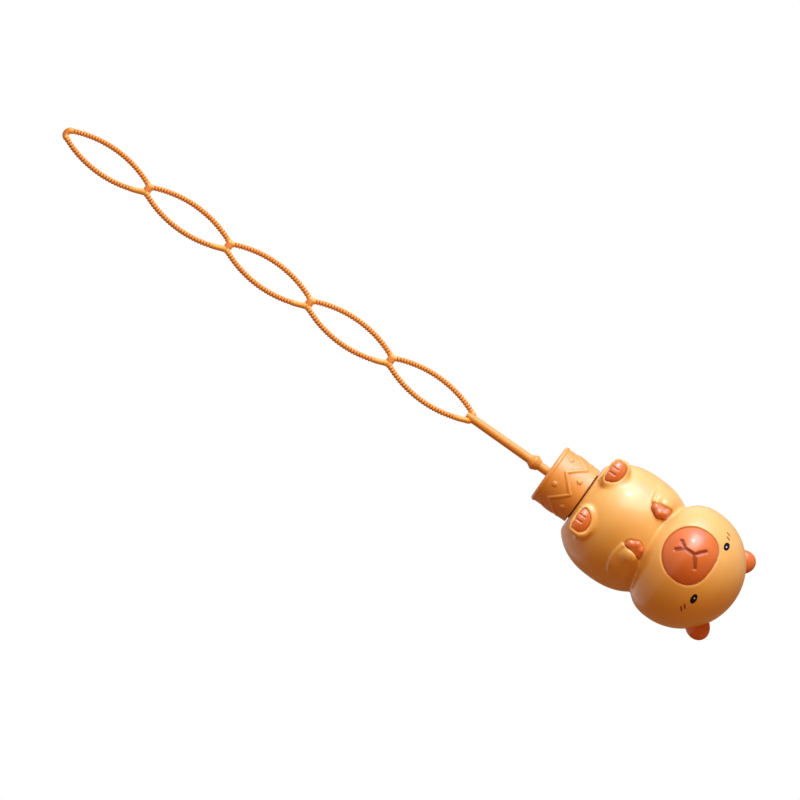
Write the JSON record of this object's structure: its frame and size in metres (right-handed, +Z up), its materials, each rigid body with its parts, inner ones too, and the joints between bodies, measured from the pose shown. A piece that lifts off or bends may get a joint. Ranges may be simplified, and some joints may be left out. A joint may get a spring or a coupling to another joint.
{
  "type": "bubble wand",
  "caption": "Bubble wand: a chain of ribbed oval loops on a stem, a screw collar for its tube, and a handle shaped as a sitting capybara",
  "frame": {"origin": "centre of the collar's mouth, on the wand's axis, where the tube of bubble liquid screws in", "axes": "+Z up along the wand's axis toward the figure's head, the wand hanging toward -Z; the face looks toward -Y; +X is the figure's left"},
  "size_m": [0.0468, 0.0537, 0.3047],
  "materials": {
    "shell": "glossy",
    "trim": "glossy",
    "wand": "satin",
    "seal": "matte"
  },
  "bodies": {
    "wand_set": {"collar": "wand", "wand": "wand", "seal_washer": "seal"},
    "figure": {"front_shell": "shell", "back_shell": "shell", "muzzle": "trim", "left_ear": "trim", "right_ear": "trim", "left_paw": "trim", "right_paw": "trim", "left_sole": "trim", "right_sole": "trim"}
  },
  "joints": [
    {"name": "figure_swivel", "type": "hinge", "parent": "wand_set", "child": "figure", "pos_m": [0, 0, 0.0168], "axis": [0, 0, 1], "continuous": true}
  ]
}
